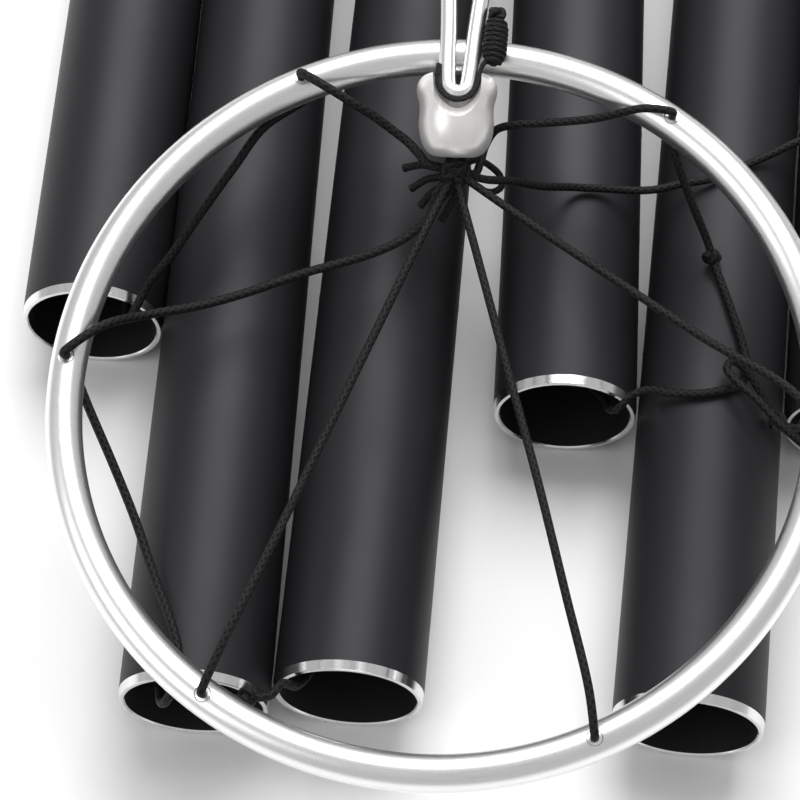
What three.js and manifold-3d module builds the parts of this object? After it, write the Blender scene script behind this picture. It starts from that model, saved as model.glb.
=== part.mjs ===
// Six-tube wind chime, laid down on a flat surface. Millimetres, +Z up.
// The tubes point along +Y; the aluminium ring lies over their top ends.
import * as THREE from 'three';
import { mergeVertices } from 'three/addons/utils/BufferGeometryUtils.js';
import Module from 'manifold-3d';

const wasm = await Module();
wasm.setup();

// ---------------------------------------------------------------- driving dimensions

const TUBE_RADIUS = 25;
const TUBE_WALL = 2.3;
const RIM_LENGTH = 3.2;
const RIM_TAPER = 0.5;
const PIN_RADIUS = 1.5;
const PIN_NODE_RATIO = 0.224;
const PIN_CLEARANCE = 0.35;

// Mouth centre [x, y], heading in degrees from +Y towards +X, length of each tube.
const TUBES = [
  { mouth: [-109.7, 446.3], heading: 3.26, length: 762 },
  { mouth: [-67.9, 301.8], heading: 3.46, length: 719 },
  { mouth: [-17.2, 304.7], heading: 5.01, length: 679 },
  { mouth: [57.5, 409.7], heading: 3.55, length: 539 },
  { mouth: [94.1, 293.9], heading: 6.94, length: 623 },
  { mouth: [158.8, 404.0], heading: 7.0, length: 588 },
];

const RING_RADIUS = 124;
const RING_ROD_RADIUS = 6.05;
const RING_CENTRE = new THREE.Vector3(13.2, 388.1, 79.5);
const RING_SIDE = new THREE.Vector3(0.99772, 0, 0.06756);
const RING_AHEAD = new THREE.Vector3(-0.01013, 0.9887, 0.14955);
const RING_NORMAL = new THREE.Vector3().crossVectors(RING_SIDE, RING_AHEAD).normalize();
const HOLE_RADIUS = 2.5;
const HOLE_BEARINGS = { A: 338.6, B: 39.9, C: 98.5, D: 158.3, E: 217.6, F: 277.7 };

// The hanger leans over the far side of the ring along LEAN; its notch opens towards FRONT.
const LEAN = new THREE.Vector3(0.02, 0.79848, 0.60169).normalize();
const SIDE = new THREE.Vector3().crossVectors(LEAN, new THREE.Vector3(-0.02, -0.575, 0.817)).normalize();
const FRONT = new THREE.Vector3().crossVectors(SIDE, LEAN).normalize();
const FERRULE_MOUTH = new THREE.Vector3(18.79, 473.87, 91.96);
const NOTCH_FLOOR = 17.8;
const NOTCH_RADIUS = 8;
const NOTCH_SLOPE = THREE.MathUtils.degToRad(16.7);
const LINK_ROD_RADIUS = 2.9;
const LINK_NEAR_HALF = 3.5;
const LINK_FAR_HALF = 5.7;
const LINK_STRAIGHT = 40;
const LINK_SEAT = 21.3;
const LINK_BACK_LEAN = THREE.MathUtils.degToRad(26.8);
const LINK_SIDE_LEAN = THREE.MathUtils.degToRad(3.2);

const CORD_RADIUS = 1.5;
const STRAND_RADIUS = 1;
const CORD_STEP = 10;
const CORD_SIDES = 8;
const KNOT_RADIUS = 3.6;
const GATHER_RADIUS = 6.2;

const STRIKER_RADIUS = 70;
const STRIKER_THICKNESS = 16;
const STRIKER_TILT = THREE.MathUtils.degToRad(7);
const STRIKER_CENTRE = new THREE.Vector3(335, 700, 0);
const SAIL_THICKNESS = 2;
const SAIL_LENGTH = 118;
const SAIL_HALF_WIDTH = 42;
const SAIL_HOLE = new THREE.Vector3(335, 1092, 0);
const SAIL_HOLE_INSET = 14;
const SAIL_HOLE_RADIUS = 2.8;
const SAIL_TILT = THREE.MathUtils.degToRad(3.6);

// The object's own origin, under the middle of its box.
const ORIGIN = new THREE.Vector3(135.26, 733.99, 0);

// ---------------------------------------------------------------- materials

function finish(color, roughness, metalness) {
  return { color, roughness, metalness };
}

const BLACK_TUBE = finish(0x2b2b2e, 0.5, 0.55);
const SATIN_ALUMINIUM = finish(0xd2d3d5, 0.35, 1);
const POLISHED_STEEL = finish(0xdcdcdd, 0.18, 1);
const CAST_SILVER = finish(0xd9d6d2, 0.4, 0.9);
const BLACK_CORD = finish(0x17161a, 0.85, 0);
const BLACK_DISC = finish(0x1d1d1f, 0.6, 0);
const BLACK_SAIL = finish(0x2b2b2e, 0.5, 0.55);

const chime = new THREE.Group();
chime.position.copy(ORIGIN).negate();

function add(name, geometry, look, parent = chime) {
  const mesh = new THREE.Mesh(geometry, new THREE.MeshStandardMaterial(look));
  mesh.name = name;
  parent.add(mesh);
  return mesh;
}

// ---------------------------------------------------------------- solids

function signedVolume(position, index) {
  const a = new THREE.Vector3();
  const b = new THREE.Vector3();
  const c = new THREE.Vector3();
  let volume = 0;
  for (let i = 0; i < index.length; i += 3) {
    a.fromBufferAttribute(position, index[i]);
    b.fromBufferAttribute(position, index[i + 1]);
    c.fromBufferAttribute(position, index[i + 2]);
    volume += a.dot(b.cross(c)) / 6;
  }
  return volume;
}

// One closed mesh with shared corners, no collapsed triangles, and its faces pointing out.
function closed(source) {
  const bare = source.clone();
  bare.deleteAttribute('normal');
  bare.deleteAttribute('uv');
  const merged = mergeVertices(bare, 1e-4);
  let index = [];
  const all = merged.index.array;
  for (let i = 0; i < all.length; i += 3) {
    const [p, q, r] = [all[i], all[i + 1], all[i + 2]];
    if (p !== q && q !== r && r !== p) {
      index.push(p, q, r);
    }
  }
  if (signedVolume(merged.attributes.position, index) < 0) {
    index = index.reverse();
  }
  merged.setIndex(index);
  return merged;
}

function toSolid(geometry) {
  const mesh = closed(geometry);
  return new wasm.Manifold(new wasm.Mesh({
    numProp: 3,
    vertProperties: new Float32Array(mesh.attributes.position.array),
    triVerts: new Uint32Array(mesh.index.array),
  }));
}

function toGeometry(solid) {
  const mesh = solid.getMesh();
  const geometry = new THREE.BufferGeometry();
  geometry.setAttribute('position', new THREE.BufferAttribute(new Float32Array(mesh.vertProperties), 3));
  geometry.setIndex(new THREE.BufferAttribute(new Uint32Array(mesh.triVerts), 1));
  geometry.computeVertexNormals();
  return geometry;
}

function lathe(profile, segments) {
  return new THREE.LatheGeometry(profile.map(([r, h]) => new THREE.Vector2(r, h)), segments);
}

function cylinder(radius, length, segments, topRadius = radius) {
  return new THREE.CylinderGeometry(topRadius, radius, length, segments);
}

// Turns local X, Y, Z onto three given directions.
function basis(x, y, z) {
  return new THREE.Quaternion().setFromRotationMatrix(new THREE.Matrix4().makeBasis(x, y, z));
}

// ---------------------------------------------------------------- tubes and their cross pins

function tubeGeometry(length) {
  const inner = TUBE_RADIUS - TUBE_WALL;
  const rim = TUBE_RADIUS - RIM_TAPER;
  const body = lathe([
    [inner, 0], [rim, 0], [TUBE_RADIUS, RIM_LENGTH],
    [TUBE_RADIUS, length - RIM_LENGTH], [rim, length], [inner, length], [inner, 0],
  ], 44);
  const drill = cylinder(PIN_RADIUS + PIN_CLEARANCE, 2.4 * TUBE_RADIUS, 12);
  drill.rotateZ(Math.PI / 2);
  drill.translate(0, PIN_NODE_RATIO * length, 0);
  return toGeometry(toSolid(body).subtract(toSolid(drill)));
}

function tubeFrame({ mouth, heading }) {
  const frame = new THREE.Group();
  frame.position.set(mouth[0], mouth[1], TUBE_RADIUS);
  frame.rotation.z = -THREE.MathUtils.degToRad(heading);
  chime.add(frame);
  return frame;
}

TUBES.forEach((tube, i) => {
  const frame = tubeFrame(tube);
  add(`tube_${i + 1}`, tubeGeometry(tube.length), BLACK_TUBE, frame);
  const pin = cylinder(PIN_RADIUS, 2 * TUBE_RADIUS - 0.6, 12);
  pin.rotateZ(Math.PI / 2);
  pin.translate(0, PIN_NODE_RATIO * tube.length, 0);
  add(`tube_pin_${i + 1}`, closed(pin), POLISHED_STEEL, frame);
});

// ---------------------------------------------------------------- suspension ring

function ringPoint(bearing, above) {
  const angle = THREE.MathUtils.degToRad(bearing);
  return RING_CENTRE.clone()
    .addScaledVector(RING_SIDE, RING_RADIUS * Math.sin(angle))
    .addScaledVector(RING_AHEAD, RING_RADIUS * Math.cos(angle))
    .addScaledVector(RING_NORMAL, above);
}

function ringGeometry() {
  let ring = toSolid(new THREE.TorusGeometry(RING_RADIUS, RING_ROD_RADIUS, 14, 72));
  for (const bearing of Object.values(HOLE_BEARINGS)) {
    const angle = THREE.MathUtils.degToRad(bearing);
    const hole = cylinder(HOLE_RADIUS, 3 * RING_ROD_RADIUS, 12);
    hole.rotateX(Math.PI / 2);
    hole.translate(RING_RADIUS * Math.sin(angle), RING_RADIUS * Math.cos(angle), 0);
    ring = ring.subtract(toSolid(hole));
  }
  return toGeometry(ring);
}

const ring = add('suspension_ring', ringGeometry(), SATIN_ALUMINIUM);
ring.position.copy(RING_CENTRE);
ring.quaternion.copy(basis(RING_SIDE, RING_AHEAD, RING_NORMAL));

// ---------------------------------------------------------------- hanger: ferrule, link, lashing, gathering knot

const hanger = new THREE.Group();
hanger.position.copy(FERRULE_MOUTH);
hanger.quaternion.copy(basis(SIDE, LEAN, FRONT));
chime.add(hanger);

// In the hanger's own frame Y runs from the mouth to the link, Z out of the notch.
function ferruleGeometry() {
  const body = lathe([
    [4.6, 0], [7.0, 0], [9.4, 1.1], [11.3, 3.8], [12.4, 7.5], [12.7, 11.5], [12.5, 15], [12.7, 17.5],
    [13.3, 20], [13.6, 22.2], [13.2, 24.4], [12, 26.3], [10, 27.6], [7.5, 28.2], [4.6, 28.4], [4.6, 0],
  ], 32);
  const notch = cylinder(NOTCH_RADIUS, 60, 24);
  notch.rotateX(Math.PI / 2);
  const above = new THREE.BoxGeometry(2 * NOTCH_RADIUS, 16, 60);
  above.translate(0, 8, 0);
  const cut = toSolid(notch).add(toSolid(above))
    .rotate([THREE.MathUtils.radToDeg(NOTCH_SLOPE), 0, 0])
    .translate([0, NOTCH_FLOOR + NOTCH_RADIUS / Math.cos(NOTCH_SLOPE), 0]);
  return toGeometry(toSolid(body).subtract(cut));
}

// A pear shaped link, from its near bend at the origin along Y.
function linkGeometry() {
  const outline = [];
  const arc = (centre, half, from, to, count) => {
    for (let k = 0; k <= count; k += 1) {
      const angle = from + ((to - from) * k) / count;
      outline.push(new THREE.Vector3(half * Math.sin(angle), centre - half * Math.cos(angle), 0));
    }
  };
  const far = LINK_NEAR_HALF + LINK_STRAIGHT;
  arc(LINK_NEAR_HALF, LINK_NEAR_HALF, -Math.PI / 2, Math.PI / 2, 6);
  outline.push(new THREE.Vector3(0.5 * (LINK_NEAR_HALF + LINK_FAR_HALF), LINK_NEAR_HALF + LINK_STRAIGHT / 2, 0));
  arc(far, LINK_FAR_HALF, Math.PI / 2, 1.5 * Math.PI, 8);
  outline.push(new THREE.Vector3(-0.5 * (LINK_NEAR_HALF + LINK_FAR_HALF), LINK_NEAR_HALF + LINK_STRAIGHT / 2, 0));
  const route = new THREE.CatmullRomCurve3(outline, true, 'centripetal');
  return closed(new THREE.TubeGeometry(route, 60, LINK_ROD_RADIUS, 12, true));
}

function lashingGeometry() {
  const barrel = lathe([
    [0, 0], [1.6, 0.3], [3.0, 2.4], [3.9, 6], [3.9, 14], [3.4, 17], [2.3, 18.6],
    [2.9, 20], [3.0, 21.4], [2.1, 23.2], [0, 24],
  ], 14);
  return closed(barrel);
}

add('ferrule', ferruleGeometry(), CAST_SILVER, hanger);
const linkFrame = new THREE.Group();
linkFrame.position.set(0, LINK_SEAT, 0);
linkFrame.rotation.set(-LINK_BACK_LEAN, 0, -LINK_SIDE_LEAN);
hanger.add(linkFrame);
add('hanging_link', linkGeometry(), POLISHED_STEEL, linkFrame);
const lashing = add('link_lashing', lashingGeometry(), BLACK_CORD, linkFrame);
lashing.position.set(11.5, 9.5, 1.3);

function knotGeometry(across, along) {
  const knot = new THREE.SphereGeometry(1, 10, 6);
  knot.scale(across, along, across);
  return closed(knot);
}

const GATHER = FERRULE_MOUTH.clone().addScaledVector(LEAN, -4.9);
add('gathering_knot', knotGeometry(GATHER_RADIUS, GATHER_RADIUS), BLACK_CORD).position.copy(GATHER);

// ---------------------------------------------------------------- cords

function vectors(points) {
  return points.map((p) => (p.isVector3 ? p.clone() : new THREE.Vector3(...p)));
}

function cordGeometry(points, radius, step) {
  const route = new THREE.CatmullRomCurve3(vectors(points), false, 'centripetal');
  const section = new THREE.Shape();
  for (let i = 0; i < CORD_SIDES; i += 1) {
    const angle = (2 * Math.PI * i) / CORD_SIDES;
    const corner = [radius * Math.cos(angle), radius * Math.sin(angle)];
    if (i === 0) {
      section.moveTo(...corner);
    } else {
      section.lineTo(...corner);
    }
  }
  section.closePath();
  const steps = Math.ceil(route.getLength() / step) + 2;
  return closed(new THREE.ExtrudeGeometry(section, { steps, bevelEnabled: false, extrudePath: route }));
}

function cord(name, points, radius = CORD_RADIUS, step = CORD_STEP) {
  return add(name, cordGeometry(points, radius, step), BLACK_CORD);
}

// The five points that carry a cord straight down through a ring hole.
function throughHole(bearing) {
  return [9, 6, 0, -6, -10].map((above) => ringPoint(bearing, above));
}

const suspension = {
  1: [[9.4, 472.2, 89.9], [6.4, 477.6, 88.2], [2.6, 482.6, 88], [-2.4, 485.8, 90.2], [-9.2, 488.4, 95.2],
    [-17.2, 490.4, 101], [-26.5, 494.4, 105.2], ...throughHole(HOLE_BEARINGS.A)],
  2: [[12.4, 464.3, 84], [10.2, 459.2, 78.4], [4, 454.3, 74.4], [-6.9, 448.7, 72.4], [-34.3, 441.2, 68.9],
    [-54.7, 434, 67.4], [-68.2, 429.2, 68.4], [-84.6, 422.7, 73.4], [-98.1, 412.7, 83.2], ...throughHole(HOLE_BEARINGS.F)],
  3: [[14.4, 461.4, 87.6], [5.9, 442.7, 85.4], [-10.1, 406.7, 81.4], [-27.1, 367.7, 78.4], [-43.1, 330.7, 75.9], [-54.1, 306.2, 74.4], ...throughHole(HOLE_BEARINGS.E)],
  4: [[25.7, 473, 83], [27.6, 478.4, 82.4], [29.4, 484.2, 83.6], [32.8, 487.8, 87.4], [39.6, 487.3, 91.4],
    [50.5, 485.6, 95], [65.2, 483.6, 100.2], [81.9, 482.1, 108.4], ...throughHole(HOLE_BEARINGS.B)],
  5: [[20.5, 461.3, 87.4], [25.9, 437.7, 85.4], [34.9, 397.7, 82.4], [43.9, 357.7, 80.4], [51.9, 317.7, 78.9], [57.9, 285.7, 79.4], ...throughHole(HOLE_BEARINGS.D)],
  6: [[25.7, 464.7, 87.9], [44.9, 448.2, 88.4], [69.9, 427.2, 89.9], [99.9, 401.7, 92.4], [123.9, 381.2, 97.4], ...throughHole(HOLE_BEARINGS.C)],
};

const TAIL_ROUTES = [
  [[11.7, 473.9, 85.6], [7.2, 476.8, 82.6], [1.4, 477.9, 79]],
  [[13.1, 471.5, 83], [8.9, 473, 79.2], [3.8, 472, 75]],
  [[15.1, 469.1, 82], [11.2, 469.2, 77.2], [6.9, 466.6, 72.5]],
  [[17.5, 467.9, 82], [14.2, 466.8, 76.6], [10.3, 463.6, 71.5]],
  [[20.1, 467.3, 82.3], [17.6, 465.3, 76.6], [14.1, 461.2, 71.5]],
];
TAIL_ROUTES.forEach((points, i) => cord(`cord_tail_${i + 1}`, points, STRAND_RADIUS));

cord('cord_loop', [
  [22.6, 473.6, 82.6], [22.9, 475, 78.6], [24.4, 474.8, 75], [27.6, 473.9, 72], [31.8, 474, 70], [35, 476.4, 69.5],
  [34.7, 480, 71], [31.2, 482.1, 74], [27.3, 482.2, 77.4], [23.4, 478.8, 81.4],
], STRAND_RADIUS);

// Stop knots, and the cords that run from them into the tubes and out to the cross pins.
function tubePoint(i, along, across, height) {
  const { mouth, heading } = TUBES[i - 1];
  const angle = THREE.MathUtils.degToRad(heading);
  return new THREE.Vector3(
    mouth[0] + along * Math.sin(angle) + across * Math.cos(angle),
    mouth[1] + along * Math.cos(angle) - across * Math.sin(angle),
    height,
  );
}

// The slack cord lies in loose waves along the bottom of the bore and rises to the pin.
function boreRun(i, from) {
  const pin = PIN_NODE_RATIO * TUBES[i - 1].length;
  const lie = TUBE_RADIUS - TUBE_WALL - CORD_RADIUS - 1.1;
  const points = [];
  const waves = 4;
  for (let k = 0; k <= waves; k += 1) {
    const along = from + ((pin - 38 - from) * k) / waves;
    const across = k === 0 || k === waves ? 0 : 4 * (k % 2 ? 1 : -1);
    points.push(tubePoint(i, along, across, TUBE_RADIUS - Math.sqrt(lie * lie - across * across)));
  }
  points.push(tubePoint(i, pin - 18, 0, TUBE_RADIUS - 12));
  points.push(tubePoint(i, pin - 7, 0, TUBE_RADIUS - 2.5));
  points.push(tubePoint(i, pin - PIN_RADIUS - 0.5, 0, TUBE_RADIUS));
  return points;
}

const STOP_KNOTS = {
  1: tubePoint(1, 12, 13, 34),
  2: tubePoint(2, 12, -13, 34),
  3: new THREE.Vector3(-49, 296.5, 46.6),
  4: new THREE.Vector3(108.8, 457.8, 53.7),
  5: tubePoint(5, 12, -10, 36),
  6: new THREE.Vector3(128.4, 397.4, 45),
};
Object.entries(STOP_KNOTS).forEach(([i, place]) => {
  add(`stop_knot_${i}`, knotGeometry(KNOT_RADIUS, KNOT_RADIUS), BLACK_CORD).position.copy(place);
});

// Below the ring each suspension cord runs on to its stop knot.
const belowRing = {
  1: [[-47, 492.8, 82], [-57.2, 480.9, 75.5], [-69.6, 467.7, 65], [-80.2, 456.3, 55.5], [-88, 449.9, 48.5],
    [-92, 443, 44.6], [-94.6, 440.8, 40.8], [-96, 443, 37.4], tubePoint(1, 7.6, 13, 34.8)],
  2: [[-104.8, 396, 62], [-94.7, 374.3, 55], [-87.6, 357.8, 50.8], [-80.3, 337.2, 50], [-74.4, 321.5, 52.4],
    [-71.4, 311, 52.9], [-71, 303.5, 52.6], [-72.4, 297.8, 50.8], [-74.8, 295.2, 46.6], [-77, 297, 41.6],
    tubePoint(2, 7.4, -11.4, 36.2)],
  3: [[-58, 293.4, 49.6], [-53.6, 295.2, 47.4]],
  4: [[94.3, 476.6, 86.6], [97.3, 472.4, 78.8], [102.7, 466.8, 66.4], [107, 461.9, 57.4]],
  5: [[65, 278.4, 53.4], [71.4, 283.6, 51.4], [78, 288, 48.6], [82.4, 289.6, 44.6], tubePoint(5, 6.6, -10.6, 38.4)],
  6: [[133.6, 376.4, 67], [127, 388, 60], [119, 399, 59.4], [113, 406, 58.6], [110.6, 410.8, 57.8],
    [112.8, 414.4, 56.6], [117.4, 412.2, 54.8], [121.2, 406.8, 52.4], [126, 400, 47.8]],
};

Object.entries(suspension).forEach(([i, points]) => {
  cord(`suspension_cord_${i}`, [...points, ...belowRing[i]]);
});

const innerCords = {
  1: [tubePoint(1, 16.4, 11.6, 31.6), tubePoint(1, 22, 10, 27), tubePoint(1, 30, 6.5, 16), ...boreRun(1, 44)],
  2: [tubePoint(2, 16.4, -11.6, 31.6), tubePoint(2, 22, -10, 27), tubePoint(2, 30, -6.5, 16), ...boreRun(2, 44)],
  3: [[-44.6, 296.6, 46.2], [-41.4, 297.6, 45.6], tubePoint(3, -4, -20.4, 43.6), tubePoint(3, -3, -16.6, 39.4),
    tubePoint(3, 2.4, -13.4, 35.4), tubePoint(3, 9, -12, 32), tubePoint(3, 22, -7, 16), ...boreRun(3, 42)],
  4: [[110, 453.4, 53], [111.8, 447.4, 52.2], [114.9, 435.4, 51.9], [117.6, 424, 51], [118.4, 415.3, 50.6],
    [116, 408.6, 51.2], [109.2, 405.6, 52.2], [101.8, 404.6, 51.6], [92.1, 406.4, 48.6], [85, 409.4, 45.4],
    [79.2, 408.4, 43.2], tubePoint(4, -3.6, 17.6, 40.2), tubePoint(4, -2.6, 15, 37.2),
    tubePoint(4, 3.4, 13, 34), ...boreRun(4, 36)],
  5: [tubePoint(5, 16.4, -8.6, 33.6), tubePoint(5, 22, -7.6, 29), tubePoint(5, 30, -5, 17), ...boreRun(5, 44)],
  6: [[132.2, 395.6, 44.2], [135.6, 395.8, 43.4], tubePoint(6, -4, -19, 41.6), tubePoint(6, -3, -16, 38.2),
    tubePoint(6, 2.4, -13, 35), ...boreRun(6, 36)],
};
Object.entries(innerCords).forEach(([i, points]) => cord(`tube_cord_${i}`, points));

// ---------------------------------------------------------------- striker, sail and their cords

const striker = new THREE.Group();
const strikerLift = (STRIKER_RADIUS - 1) * Math.sin(STRIKER_TILT) + 0.05;
striker.position.copy(STRIKER_CENTRE).setZ(strikerLift);
striker.rotation.x = STRIKER_TILT;
chime.add(striker);

function discGeometry() {
  const r = STRIKER_RADIUS;
  const t = STRIKER_THICKNESS;
  const disc = lathe([
    [3, 0], [r - 3, 0], [r - 0.9, 0.9], [r, 3], [r, t - 3], [r - 0.9, t - 0.9], [r - 3, t], [3, t], [3, 0],
  ], 44);
  disc.rotateX(Math.PI / 2);
  return closed(disc);
}

add('striker', discGeometry(), BLACK_DISC, striker);

function strikerPoint(across, along, above) {
  striker.updateMatrix();
  return new THREE.Vector3(across, along, above).applyMatrix4(striker.matrix);
}

const TOP_KNOT = strikerPoint(0, 0, STRIKER_THICKNESS + KNOT_RADIUS + 0.3);
const BOTTOM_KNOT = strikerPoint(0, 0, -KNOT_RADIUS - 0.3);
add('striker_knot_top', knotGeometry(KNOT_RADIUS, KNOT_RADIUS), BLACK_CORD).position.copy(TOP_KNOT);
add('striker_knot_bottom', knotGeometry(KNOT_RADIUS, KNOT_RADIUS), BLACK_CORD).position.copy(BOTTOM_KNOT);

cord('striker_cord', [
  [28.7, 470.8, 82.8], [32.3, 472.8, 79.2], [38.4, 476.2, 73.6], [49.2, 480.8, 63.4], [60.4, 486.2, 54.6],
  [71.1, 487.6, 51.6], [88.9, 487.6, 50.6], [100.4, 490.4, 50.4], [111, 491.6, 51.8], [123.2, 497.2, 51.8],
  [133, 502.6, 51.2], [143.7, 508.4, 51.2], [158, 512.6, 51.4], [172, 515.4, 52.2], [186, 517.4, 50.4],
  [200, 519.6, 42], [214, 522.4, 28], [228, 526, 14], [242, 531, 5], [257, 537.6, 2.2],
  [278, 547, 1.9], [296, 556.4, 1.9], [306.6, 571, 1.9], [301.4, 588, 1.9], [285.4, 598, 1.9], [267.6, 606.6, 1.9],
  [257, 620, 1.9], [259, 632, 2.1], [266.4, 639.4, 4.6], [274, 645, 11], [280.6, 649.6, 19.4],
  strikerPoint(-48, -45, 18.5), strikerPoint(-40, -37, 17.9), strikerPoint(-27, -25, 17.9),
  strikerPoint(-14, -13, 17.9), strikerPoint(-7, -6.5, 18.3), strikerPoint(-2.9, -2.7, 19),
]);

const sailFrame = new THREE.Group();
sailFrame.position.copy(SAIL_HOLE).setZ((SAIL_LENGTH - SAIL_HOLE_INSET) * Math.sin(SAIL_TILT) + 0.02);
sailFrame.rotation.x = -SAIL_TILT;
chime.add(sailFrame);

// A rounded blade, narrow where it hangs and broad at the free end.
function sailGeometry() {
  const near = -SAIL_HOLE_INSET;
  const far = near + SAIL_LENGTH;
  const w = SAIL_HALF_WIDTH;
  const outline = new THREE.Shape();
  outline.moveTo(0, near);
  outline.bezierCurveTo(0.3 * w, near, 0.42 * w, near + 8, 0.55 * w, near + 26);
  outline.bezierCurveTo(0.72 * w, near + 48, w, near + 56, w, near + 76);
  outline.bezierCurveTo(w, far - 14, 0.55 * w, far, 0, far);
  outline.bezierCurveTo(-0.55 * w, far, -w, far - 14, -w, near + 76);
  outline.bezierCurveTo(-w, near + 56, -0.72 * w, near + 48, -0.55 * w, near + 26);
  outline.bezierCurveTo(-0.42 * w, near + 8, -0.3 * w, near, 0, near);
  const eye = new THREE.Path();
  eye.absarc(0, 0, SAIL_HOLE_RADIUS, 0, 2 * Math.PI, true);
  outline.holes.push(eye);
  return closed(new THREE.ExtrudeGeometry(outline, { depth: SAIL_THICKNESS, bevelEnabled: false, curveSegments: 8 }));
}

add('wind_sail', sailGeometry(), BLACK_SAIL, sailFrame);
sailFrame.updateMatrix();
const SAIL_KNOT = new THREE.Vector3(0, 0, SAIL_THICKNESS + KNOT_RADIUS + 0.3).applyMatrix4(sailFrame.matrix);
add('sail_knot', knotGeometry(KNOT_RADIUS, KNOT_RADIUS), BLACK_CORD).position.copy(SAIL_KNOT);

cord('sail_cord', [
  [335, 704.4, 3.4], [335, 714, 2.2], [334, 736, 1.9], [334, 762, 1.9], [340, 784, 1.9], [356, 798, 1.9],
  [369, 816, 1.9], [365, 838, 1.9], [346, 851, 1.9], [323, 861, 1.9], [307, 877, 1.9], [308, 898, 1.9],
  [326, 911, 1.9], [349, 920, 1.9], [364, 936, 1.9], [362, 957, 1.9], [344, 970, 1.9], [322, 980, 1.9],
  [308, 997, 1.9], [311, 1017, 1.9], [324, 1034, 1.9], [332, 1054, 1.9], [335, 1072, 1.9], [335, 1084, 1.9],
  [335, 1089, 2.5], [335, 1091.2, 4.1], [335, 1091.9, 5.7], [335, 1092.1, 8.2],
], CORD_RADIUS, 0.66 * CORD_STEP);

export default chime;
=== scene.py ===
"""Looks for the wind chime that lies on a pale surface. Metres, in the row frame."""
import math

import bmesh
import bpy
from mathutils import Matrix, Vector


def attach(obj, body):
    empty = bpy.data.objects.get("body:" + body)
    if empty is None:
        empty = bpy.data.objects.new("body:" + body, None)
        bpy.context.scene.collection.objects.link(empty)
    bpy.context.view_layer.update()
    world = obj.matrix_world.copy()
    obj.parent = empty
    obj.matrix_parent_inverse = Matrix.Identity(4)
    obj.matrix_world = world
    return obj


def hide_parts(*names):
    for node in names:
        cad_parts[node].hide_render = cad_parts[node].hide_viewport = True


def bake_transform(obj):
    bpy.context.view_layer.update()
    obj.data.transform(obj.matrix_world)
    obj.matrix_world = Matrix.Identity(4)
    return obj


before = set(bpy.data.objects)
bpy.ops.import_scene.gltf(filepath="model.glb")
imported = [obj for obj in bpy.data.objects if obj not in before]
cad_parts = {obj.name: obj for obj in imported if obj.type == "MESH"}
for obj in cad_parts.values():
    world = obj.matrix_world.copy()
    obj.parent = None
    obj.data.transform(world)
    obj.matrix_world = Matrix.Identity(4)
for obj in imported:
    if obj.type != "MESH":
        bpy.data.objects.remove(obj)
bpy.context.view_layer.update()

# ------------------------------------------------------------------ dimensions, in millimetres as in the CAD

ORIGIN = Vector((135.26, 733.99, 0.0))
CAMERA_HEIGHT = 789.45
CAMERA_PITCH = 61.412
CAMERA_LENS = 111.66

TUBE_RADIUS = 25.0
TUBE_WALL = 2.3
RIM_LENGTH = 3.2
RIM_TAPER = 0.5
PIN_RATIO = 0.224
TUBES = [
    ((-109.7, 446.3), 3.26, 762.0),
    ((-67.9, 301.8), 3.46, 719.0),
    ((-17.2, 304.7), 5.01, 679.0),
    ((57.5, 409.7), 3.55, 539.0),
    ((94.1, 293.9), 6.94, 623.0),
    ((158.8, 404.0), 7.0, 588.0),
]
TUBE_BODIES = ["tube_one", "tube_two", "tube_three", "tube_four", "tube_five", "tube_six"]

RING_RADIUS = 124.0
RING_ROD = 6.05
RING_CENTRE = Vector((13.2, 388.1, 79.5))
RING_SIDE = Vector((0.99772, 0.0, 0.06756)).normalized()
RING_AHEAD = Vector((-0.01013, 0.9887, 0.14955)).normalized()
RING_NORMAL = RING_SIDE.cross(RING_AHEAD).normalized()
HOLE_RADIUS = 2.5
HOLES = {1: 338.6, 4: 39.9, 6: 98.5, 5: 158.3, 3: 217.6, 2: 277.7}

LEAN = Vector((0.02, 0.79848, 0.60169)).normalized()
SIDE = LEAN.cross(Vector((-0.02, -0.575, 0.817))).normalized()
FRONT = SIDE.cross(LEAN).normalized()
MOUTH = Vector((18.79, 473.87, 91.96))
GATHER = MOUTH - 4.9 * LEAN
NOTCH_FLOOR = 17.8
NOTCH_RADIUS = 8.0
NOTCH_SLOPE = math.radians(16.7)
LINK_ROD = 2.9
LINK_NEAR_HALF = 3.5
LINK_FAR_HALF = 5.7
LINK_STRAIGHT = 40.0
LINK_SEAT = 21.3
LINK_BACK_LEAN = math.radians(26.8)
LINK_SIDE_LEAN = math.radians(3.2)
NOTCH_BEVEL = 0.9

STRIKER_CENTRE = Vector((335.0, 700.0, 0.0))
STRIKER_RADIUS = 70.0
STRIKER_THICKNESS = 16.0
STRIKER_TILT = math.radians(7.0)
SAIL_TILT = math.radians(3.6)
SAIL_LENGTH = 118.0
SAIL_HALF_WIDTH = 42.0
SAIL_INSET = 14.0
SAIL_ROOT = Vector((335.0, 1092.0, 0.0))
SAIL_HOLE = 2.8

CORD = 1.42
THICK_CORD = 1.55
TAIL = 1.3
LOOP_CORD = 1.2
CAD_CORD = 1.5
BORE_CLEARANCE = 1.1
SLACK_WAVES = 4
SLACK_SWAY = 4
KNOT = 2.35
KNOT_CORD = 1.3
KNOT_RISE = 3.9


def row(p):
    """A point in millimetres, to metres in the row frame."""
    return (Vector(p) - ORIGIN) / 1000.0


def round_angles(count):
    """Angles evenly round a circle, from 0."""
    return [2 * math.pi * k / count for k in range(count)]


# ------------------------------------------------------------------ camera

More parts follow.
